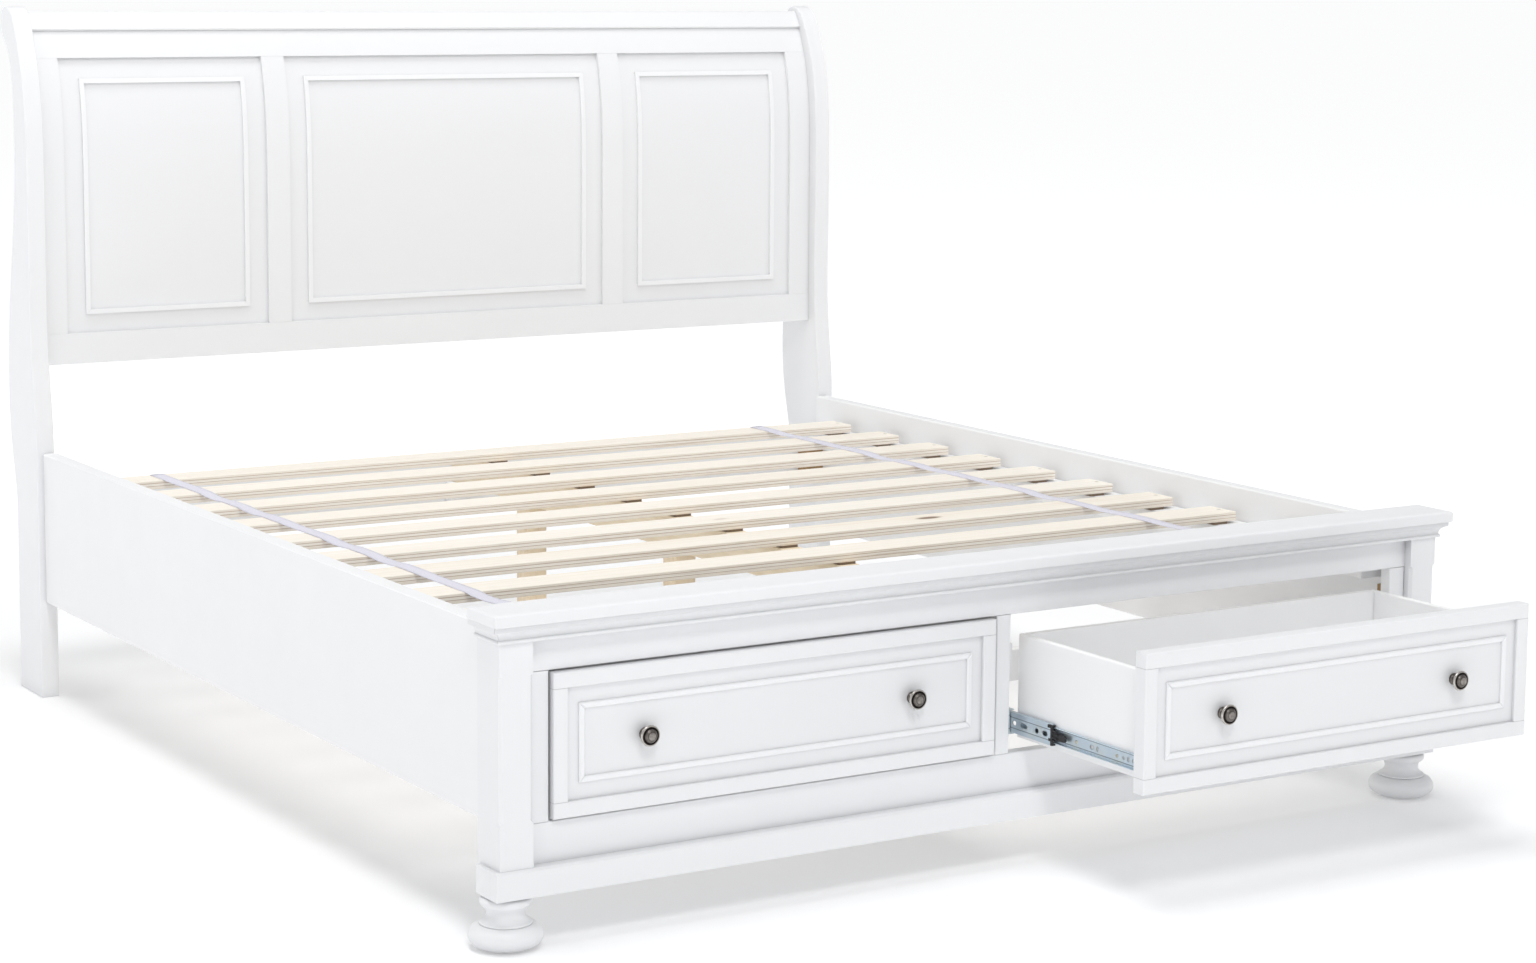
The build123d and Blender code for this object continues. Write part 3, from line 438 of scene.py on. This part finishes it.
def woven_tape(name, tint):
    """Flat woven tape: warp ribs along it and picks across it, from its own UV map in metres."""
    f = Finish(name)
    u, v, _ = f.split(f.node("TexCoord", out="UV"))
    warp = (u * 5200.0).math("SINE") * 0.5 + 0.5
    weft = (v * 3100.0).math("SINE") * 0.5 + 0.5
    cloth = warp * 0.6 + weft * 0.4
    fuzz = f.noise(f.place(), 700.0, 3.0)
    shade = tuple(c * 0.72 for c in tint)
    colour = f.mix((cloth * 0.7 + fuzz * 0.3).clip(), shade, tint)
    return f.close(Base_Color=colour, Roughness=0.6 + fuzz * 0.15, Normal=f.bump(cloth, 0.4, 0.0004))


# Every paint below has painted crease shade, and recess sets how much painted shade lies in its wider
# recesses.
paint_across = satin_paint("satin_paint_grain_across", 1.0, "X")
paint_upright = satin_paint("satin_paint_grain_upright", 1.0, "Z")
paint_panel = satin_paint("satin_paint_panel", 0.98, "X", 0.4)
paint_headboard = satin_paint("satin_paint_headboard", 1.0, "X", recess=0.12)
paint_head_panel = satin_paint("satin_paint_headboard_panel", 0.99, "X", 0.4, recess=0.12)
# The bead is painted lighter than the paint round it as a painted highlight.
paint_bead = satin_paint("satin_paint_bead", 1.05, "X", 0.3, recess=0.0)
# The cornice is painted darker, with the full painted recess shade, as painted shade in its cove.
paint_cornice = satin_paint("satin_paint_cornice", 0.96, "X", recess=1.0)
paint_turned = satin_paint("satin_paint_turned", 1.02, "Z", 0.33)
paint_box = satin_paint("satin_paint_drawer_box", 1.0, "Y", 0.3, (0.965, 0.966, 0.97), recess=0.0)
paint_inner = satin_paint("satin_paint_rails", 1.0, "Y", 0.36, (0.90, 0.904, 0.912), recess=0.0)
FRAME_BORDER = 0.027


def drawer_frame_paint(node):
    """The rails of a drawer front run its full width and the stiles stand between them."""
    low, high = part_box(node)
    middle, half = (low.x + high.x) / 2, (high.x - low.x) / 2
    levels = (low.z + FRAME_BORDER, high.z - FRAME_BORDER)
    joints = (middle, half - FRAME_BORDER, levels)
    return satin_paint(node + "_satin_paint", 1.0, "X", 0.34, PAINT, joints)


foil_white = foil_board("drawer_bottom_foil", (0.93, 0.932, 0.938))
SLAT_WIDTH, SLAT_THICKNESS, SLAT_COUNT = 0.082, 0.018, 10
SLAT_PITCH = (slat_box[1].y - slat_box[0].y - SLAT_WIDTH) / (SLAT_COUNT - 1)
slat_wood = sawn_wood(
    "slat_softwood", "X", (0.97, 0.93, 0.86), (0.88, 0.79, 0.66), (0.40, 0.25, 0.14),
    SLAT_PITCH, slat_box[0].y - (SLAT_PITCH - SLAT_WIDTH) / 2, SLAT_THICKNESS / 3, deck_top - SLAT_THICKNESS,
)
beam_wood = sawn_wood("beam_softwood", "Y", (0.88, 0.78, 0.61), (0.76, 0.6, 0.4), (0.40, 0.24, 0.12))
leg_wood = sawn_wood("leg_softwood", "Z", (0.86, 0.74, 0.57), (0.74, 0.58, 0.38), (0.40, 0.24, 0.12))
block_wood = sawn_wood(
    "block_hardwood", "Z", (0.46, 0.31, 0.15), (0.33, 0.2, 0.09), (0.12, 0.065, 0.03), painted_within=0.2
)
KNOB_RADIUS = 0.018
knob_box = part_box("left_drawer_knobs")
knob_middle = -(knob_box[0].x + knob_box[1].x) / 2
knob_spread = (knob_box[1].x - knob_box[0].x) / 2 - KNOB_RADIUS
pewter = aged_pewter("knob_pewter", knob_middle, knob_spread, (knob_box[0].z + knob_box[1].z) / 2)
SLIDE_BLUE = (0.62, 0.72, 0.80)


# Slots as distance from the member's front end, half length and half height, then the pressed
# lines above and below the middle.
MIDDLE_SLOTS = (
    ((0.020, 0.007, 0.0042), (0.044, 0.005, 0.0042), (0.082, 0.009, 0.0038), (0.110, 0.005, 0.0042),
     (0.150, 0.009, 0.0038), (0.200, 0.005, 0.0042), (0.240, 0.009, 0.0038)),
    (-0.0095, 0.0095),
)
FIXED_SLOTS = (
    ((0.037, 0.006, 0.0032), (0.165, 0.009, 0.0032), (0.293, 0.006, 0.0032)),
    (-0.012, 0.012),
)
DRAWER_SLOTS = (
    ((0.018, 0.0042, 0.0024), (0.033, 0.0024, 0.0048), (0.046, 0.0024, 0.0024), (0.118, 0.0024, 0.0048),
     (0.134, 0.0045, 0.0032), (0.222, 0.0024, 0.0048), (0.238, 0.0045, 0.0032)),
    (-0.0088, 0.0105),
)


def runner_finish(node):
    """The steel of one slide member, with the slots stamped in it."""
    low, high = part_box(node)
    places, lines = MIDDLE_SLOTS if "middle" in node else FIXED_SLOTS if "fixed" in node else DRAWER_SLOTS
    slots = [(low.y + along, half_long, half_high) for along, half_long, half_high in places]
    return zinc_steel(node + "_zinc_steel", SLIDE_BLUE, "Y", (low.z + high.z) / 2, lines, slots)


screw_steel = zinc_steel("screw_zinc_steel", (0.62, 0.6, 0.52), "Z")
lever_plastic = moulded_plastic("release_lever_plastic", (0.012, 0.012, 0.013))
glide_plastic = moulded_plastic("glide_plastic", (0.03, 0.03, 0.03), 0.5)
tape = woven_tape("strap_tape", (0.86, 0.85, 0.95))

UPRIGHT = ("headboard_post", "footboard_post", "headboard_stiles", "footboard_stiles")
LONG = ("side_rail", "side_ledgers", "slide_supports")


def finish_for(name):
    if name.endswith("runners"):
        return runner_finish(name)
    if name.endswith("lever"):
        return lever_plastic
    if name.endswith("knobs"):
        return pewter
    if name.endswith("drawer_bottom"):
        return foil_white
    if name.endswith("screws") or name in ("bun_foot_studs", "rail_hooks", "post_hook_plates"):
        return screw_steel
    if name.endswith("bun_foot"):
        return paint_turned
    if name.endswith("bead") or name.endswith("beads"):
        return paint_bead
    if name.startswith("headboard"):
        return paint_head_panel if name.endswith("panel") else paint_headboard
    if name.endswith("panel"):
        return paint_panel
    named = {
        "footboard_cornice": paint_cornice,
        "slats": slat_wood,
        "centre_beam": beam_wood,
        "centre_legs": leg_wood,
        "support_blocks": block_wood,
        "leg_glides": glide_plastic,
        "slat_straps": tape,
    }
    if name in named:
        return named[name]
    if any(part in name for part in UPRIGHT):
        return paint_upright
    if name.endswith("drawer_box"):
        return paint_box
    if name.endswith("drawer_frame"):
        return drawer_frame_paint(name)
    if any(part in name for part in LONG):
        return paint_inner
    return paint_across


for name, thing in nodes.items():
    thing.data.materials.clear()
    thing.data.materials.append(finish_for(name))

# ======================================================================================
# Strap tapes over the slats
# ======================================================================================

TAPE_THICK, TAPE_SAG = 0.0011, 0.003
strap_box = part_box("slat_straps")
TAPE_WIDE = 0.028
slat_starts = [slat_box[0].y + i * SLAT_PITCH for i in range(SLAT_COUNT)]


def tape_line(seed):
    """Points along one tape: flat on each slat, hanging a little in each gap, and never quite straight."""
    points = []
    for i, start in enumerate(slat_starts):
        near = start + (0.006 if i == 0 else 0.0)
        far = start + SLAT_WIDTH - (0.006 if i == SLAT_COUNT - 1 else 0.0)
        for t in (0.0, 0.35, 0.65, 1.0):
            points.append((near + (far - near) * t, deck_top + 0.0005))
        if i < SLAT_COUNT - 1:
            gap = slat_starts[i + 1] - far
            sag = TAPE_SAG * (0.7 + 0.5 * math.sin(seed + i * 2.1))
            for t in (0.06, 0.2, 0.35, 0.5, 0.65, 0.8, 0.94):
                points.append((far + gap * t, deck_top + 0.0005 - sag * 4 * t * (1 - t)))
    return points


def strap_tape(name, centre_x, seed):
    built = bmesh.new()
    layer = built.loops.layers.uv.new("tape")
    rows, run, last = [], [], None
    length = 0.0
    for y, z in tape_line(seed):
        if last is not None:
            length += math.hypot(y - last[0], z - last[1])
        last = (y, z)
        sway = 0.0006 * math.sin(seed * 3.0 + y * 5.3)
        tilt = 0.0012 * math.sin(seed + y * 9.0)
        row = []
        for k in range(5):
            u = k / 4
            crown = 0.0004 * math.sin(math.pi * u)
            x = centre_x + sway + (u - 0.5) * TAPE_WIDE
            row.append(built.verts.new((x, y, z + crown + abs(tilt) * u)))
        rows.append(row)
        run.append(length)
    for i in range(len(rows) - 1):
        for k in range(4):
            face = built.faces.new((rows[i][k], rows[i][k + 1], rows[i + 1][k + 1], rows[i + 1][k]))
            face.smooth = True
            corners = ((k, i), (k + 1, i), (k + 1, i + 1), (k, i + 1))
            for loop, (a, b) in zip(face.loops, corners):
                loop[layer].uv = (a / 4 * TAPE_WIDE, run[b])
    mesh = bpy.data.meshes.new(name)
    built.to_mesh(mesh)
    built.free()
    mesh.materials.append(tape)
    piece = bpy.data.objects.new(name, mesh)
    scene.collection.objects.link(piece)
    shell = piece.modifiers.new("thickness", "SOLIDIFY")
    shell.thickness, shell.offset = TAPE_THICK, 1.0
    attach(piece, "bed_frame")
    return piece


left_tape = strap_tape("left_strap_tape", strap_box[0].x + TAPE_WIDE / 2, 0.4)
strap_tape("right_strap_tape", strap_box[1].x - TAPE_WIDE / 2, 1.9)
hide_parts("slat_straps")

# ======================================================================================
# Plastic stops on the front ends of the slides' middle members
# ======================================================================================


def tub(built, low, high, round_by):
    """A bevelled block between two corners."""
    made = bmesh.ops.create_cube(built, size=1.0)["verts"]
    for vert in made:
        vert.co = Vector(tuple(l + (h - l) * (c + 0.5) for l, h, c in zip(low, high, vert.co)))
    edges = list({edge for vert in made for edge in vert.link_edges})
    bmesh.ops.bevel(built, geom=edges, offset=round_by, segments=2, profile=0.6, affect="EDGES")


# Each block of a stop: its reach inward from the member, along it from its front end, and in
# height from its middle, then its rounding. The last four are the spring fingers.
STOP_BLOCKS = (
    ((-0.0004, 0.0075), (-0.0012, 0.0045), (-0.0185, 0.0185), 0.0009),
    ((-0.0004, 0.0040), (0.0030, 0.0125), (0.0125, 0.0185), 0.0008),
    ((-0.0004, 0.0040), (0.0035, 0.0100), (-0.0110, -0.0055), 0.0008),
    ((0.0, 0.0012), (-0.0120, 0.0), (0.0068, 0.0102), 0.0004),
    ((0.0, 0.0012), (-0.0165, 0.0), (0.0013, 0.0047), 0.0004),
    ((0.0, 0.0012), (-0.0135, 0.0), (-0.0052, -0.0018), 0.0004),
    ((0.0, 0.0012), (-0.0095, 0.0), (-0.0107, -0.0073), 0.0004),
)


def slide_stop(name, middle_node, body):
    """A cap clipped over the end of each middle member, with a hook and four spring fingers."""
    low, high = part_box(middle_node)
    built = bmesh.new()
    front, middle_z = low.y, (low.z + high.z) / 2
    for wall, inward in ((low.x, 1), (high.x, -1)):
        for across, along, rise, round_by in STOP_BLOCKS:
            x_low, x_high = sorted(wall + inward * reach for reach in across)
            near = (x_low, front + along[0], middle_z + rise[0])
            far = (x_high, front + along[1], middle_z + rise[1])
            tub(built, near, far, round_by)
    mesh = bpy.data.meshes.new(name)
    built.to_mesh(mesh)
    built.free()
    mesh.materials.append(lever_plastic)
    piece = bpy.data.objects.new(name, mesh)
    scene.collection.objects.link(piece)
    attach(piece, body)


for side in ("left", "right"):
    slide_stop(side + "_slide_stops", side + "_middle_runners", side + "_middle")

# ======================================================================================
# Bearing balls and mounting screws of the drawer slides
# ======================================================================================


class Pattern:
    """A Geometry Nodes tree that sets one shape on every seat. Its sizes are named inputs."""

    def __init__(self, name, sizes):
        self.tree = bpy.data.node_groups.new(name, "GeometryNodeTree")
        self.tree.interface.new_socket("Seats", in_out="INPUT", socket_type="NodeSocketGeometry")
        for label, value in sizes.items():
            kind = "NodeSocketInt" if isinstance(value, int) else "NodeSocketFloat"
            self.tree.interface.new_socket(label, in_out="INPUT", socket_type=kind)
        self.tree.interface.new_socket("Finish", in_out="INPUT", socket_type="NodeSocketMaterial")
        self.tree.interface.new_socket("Geometry", in_out="OUTPUT", socket_type="NodeSocketGeometry")
        self.given = self.tree.nodes.new("NodeGroupInput")
        self.sizes = sizes

    def size(self, label):
        return self.given.outputs[label]

    def step(self, kind, settings=None, sockets=None, out=0):
        made = self.tree.nodes.new(kind)
        for key, value in (settings or {}).items():
            setattr(made, key, value)
        for key, value in (sockets or {}).items():
            for one in value if isinstance(value, list) else [value]:
                if isinstance(one, bpy.types.NodeSocket):
                    self.tree.links.new(one, made.inputs[key])
                else:
                    made.inputs[key].default_value = one
        return made.outputs[out]

    def times(self, a, b):
        return self.step("ShaderNodeMath", {"operation": "MULTIPLY"}, {0: a, 1: b})

    def finish(self, geometry):
        solid = self.step("GeometryNodeRealizeInstances", {}, {0: geometry})
        dressed = {"Geometry": solid, "Material": self.size("Finish")}
        painted = self.step("GeometryNodeSetMaterial", {}, dressed)
        self.tree.links.new(painted, self.tree.nodes.new("NodeGroupOutput").inputs[0])

    def grow(self, name, seats, outward, finish, body, slot, sizes=None):
        """Runs the tree on the seats and keeps the result as a plain mesh that rides on the body."""
        seat_mesh = bpy.data.meshes.new(name + "_seats")
        seat_mesh.from_pydata(seats, [], [])
        facing = seat_mesh.attributes.new("outward", "FLOAT", "POINT")
        facing.data.foreach_set("value", outward)
        piece = bpy.data.objects.new(name, seat_mesh)
        scene.collection.objects.link(piece)
        step = piece.modifiers.new("pattern", "NODES")
        step.node_group = self.tree
        values = {**self.sizes, **(sizes or {}), "Finish": finish}
        for socket in self.tree.interface.items_tree:
            if socket.in_out == "INPUT" and socket.name in values:
                step[socket.identifier] = values[socket.name]
        ready = bpy.context.evaluated_depsgraph_get()
        grown = bpy.data.meshes.new_from_object(piece.evaluated_get(ready), depsgraph=ready)
        piece.modifiers.clear()
        piece.data = grown
        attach(piece, body)
        return piece


def ball_rows():
    """A row of balls from each seat along Y, all in one cage."""
    p = Pattern("ball_rows", {"Ball Radius": 0.0013, "Ball Pitch": 0.0064, "Balls in a Row": 13})
    spacing = {
        "Count": p.size("Balls in a Row"),
        "Offset": p.step("ShaderNodeCombineXYZ", {}, {1: p.size("Ball Pitch")}),
    }
    row = p.step("GeometryNodeMeshLine", {"mode": "OFFSET"}, spacing)
    places = p.step("GeometryNodeInstanceOnPoints", {}, {"Points": p.size("Seats"), "Instance": row})
    places = p.step("GeometryNodeRealizeInstances", {}, {0: places})
    ball = p.step("GeometryNodeMeshIcoSphere", {}, {"Radius": p.size("Ball Radius"), "Subdivisions": 2})
    ball = p.step("GeometryNodeSetShadeSmooth", {}, {"Geometry": ball})
    p.finish(p.step("GeometryNodeInstanceOnPoints", {}, {"Points": places, "Instance": ball}))
    return p


def cross_head_screws():
    """A pan head with a cross recess on each seat, standing off along +X or -X."""
    p = Pattern("cross_head_screws", {
        "Head Radius": 0.0036, "Head Height": 0.0016, "Recess Width": 0.0008, "Recess Depth": 0.0009,
    })
    radius, height = p.size("Head Radius"), p.size("Head Height")
    head = p.step("GeometryNodeMeshCone", {}, {
        "Vertices": 20, "Radius Top": p.times(radius, 0.72), "Radius Bottom": radius, "Depth": height,
    })
    cuts = []
    for long_axis in (0, 1):
        size = p.step("ShaderNodeCombineXYZ", {}, {
            long_axis: radius,
            1 - long_axis: p.size("Recess Width"),
            2: p.times(p.size("Recess Depth"), 2.0),
        })
        bar = p.step("GeometryNodeMeshCube", {}, {"Size": size})
        lift = p.step("ShaderNodeCombineXYZ", {}, {2: height})
        cuts.append(p.step("GeometryNodeTransform", {}, {"Geometry": bar, "Translation": lift}))
    cutting = {"operation": "DIFFERENCE", "solver": "EXACT"}
    head = p.step("GeometryNodeMeshBoolean", cutting, {"Mesh 1": head, "Mesh 2": cuts})
    facing = p.step("GeometryNodeInputNamedAttribute", {"data_type": "FLOAT"}, {"Name": "outward"})
    turn = p.step("ShaderNodeCombineXYZ", {}, {1: p.times(facing, math.pi / 2)})
    seated = {"Points": p.size("Seats"), "Instance": head, "Rotation": turn}
    p.finish(p.step("GeometryNodeInstanceOnPoints", {}, seated))
    return p


ball_steel = zinc_steel("ball_steel", (0.70, 0.72, 0.74), "Y")
balls, screws = ball_rows(), cross_head_screws()
FIXED_SHEET = 0.0012
DRAWER_WEB = 0.0055  # from the drawer member's outer edge to its web
CAGE_LENGTH, CAGE_END, FIRST_BALL = 0.090, 0.012, 0.0066
OUTER_RACE, INNER_RACE = (0.0068, 0.0197), (0.0088, 0.01575)  # inward, and up or down
DRAWER_SCREWS, FIXED_SCREWS = (0.064, 0.178, 0.300), (0.012, 0.100, 0.230, 0.330)
FLUSH_HEAD = {"Head Height": 0.0007, "Recess Depth": 0.0004}


def screw_seats(node, web, facings, places):
    """Seats on the web of both of a node's members, and the way each screw head faces."""
    low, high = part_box(node)
    middle_z = (low.z + high.z) / 2
    seats, outward = [], []
    for x, facing in zip((low.x + web, high.x - web), facings):
        for along in places:
            seats.append((x, low.y + along, middle_z))
            outward.append(facing)
    return seats, outward


for side in ("left", "right"):
    low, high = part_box(side + "_middle_runners")
    middle_z = (low.z + high.z) / 2
    outer_start = high.y - CAGE_END - CAGE_LENGTH + FIRST_BALL
    inner_start = low.y + CAGE_END + FIRST_BALL
    seats = []
    for wall, inward in ((low.x, 1), (high.x, -1)):
        for up in (-1, 1):
            for start, (reach, rise) in ((outer_start, OUTER_RACE), (inner_start, INNER_RACE)):
                seats.append((wall + inward * reach, start, middle_z + up * rise))
    flat = [0.0] * len(seats)
    balls.grow(side + "_slide_balls", seats, flat, ball_steel, side + "_middle", "zinc_steel")
    seats, outward = screw_seats(side + "_drawer_runners", DRAWER_WEB, (-1.0, 1.0), DRAWER_SCREWS)
    screws.grow(side + "_runner_screws", seats, outward, screw_steel, side + "_drawer", "plated_steel")
    seats, outward = screw_seats(side + "_fixed_runners", FIXED_SHEET, (1.0, -1.0), FIXED_SCREWS)
    name = side + "_support_screws"
    screws.grow(name, seats, outward, screw_steel, "bed_frame", "plated_steel", FLUSH_HEAD)

# ======================================================================================
# Floor
# ======================================================================================

floor_finish = Finish("studio_floor")
floor_place = floor_finish.place()
floor_x, floor_y, _ = floor_finish.split(floor_place)
# The floor glows though it is no lamp: its glow lights the bed from below, dim within 1.4 m of the middle and
# bright beyond 4.5 m.
away = (floor_x * floor_x + floor_y * floor_y).math("SQRT").above(1.4, 4.5)
floor_speck = floor_finish.noise(floor_place, 3.0, 2.0)
floor_material = floor_finish.close(
    Base_Color=floor_finish.mix(floor_speck, (0.80, 0.803, 0.81), (0.82, 0.823, 0.83)),
    Roughness=0.9,
    Specular_IOR_Level=0.0,
    Emission_Color=floor_finish.mix(away, (0.24, 0.24, 0.24), (0.62, 0.62, 0.62)),
    Emission_Strength=1.0,
)
floor_mesh = bpy.data.meshes.new("floor")
REACH = 500.0
corners = [(x * REACH, y * REACH, 0) for x, y in ((-1, -1), (1, -1), (1, 1), (-1, 1))]
floor_mesh.from_pydata(corners, [], [(0, 1, 2, 3)])
floor_mesh.materials.append(floor_material)
floor = bpy.data.objects.new("floor", floor_mesh)
floor.location.z = -0.0006
scene.collection.objects.link(floor)
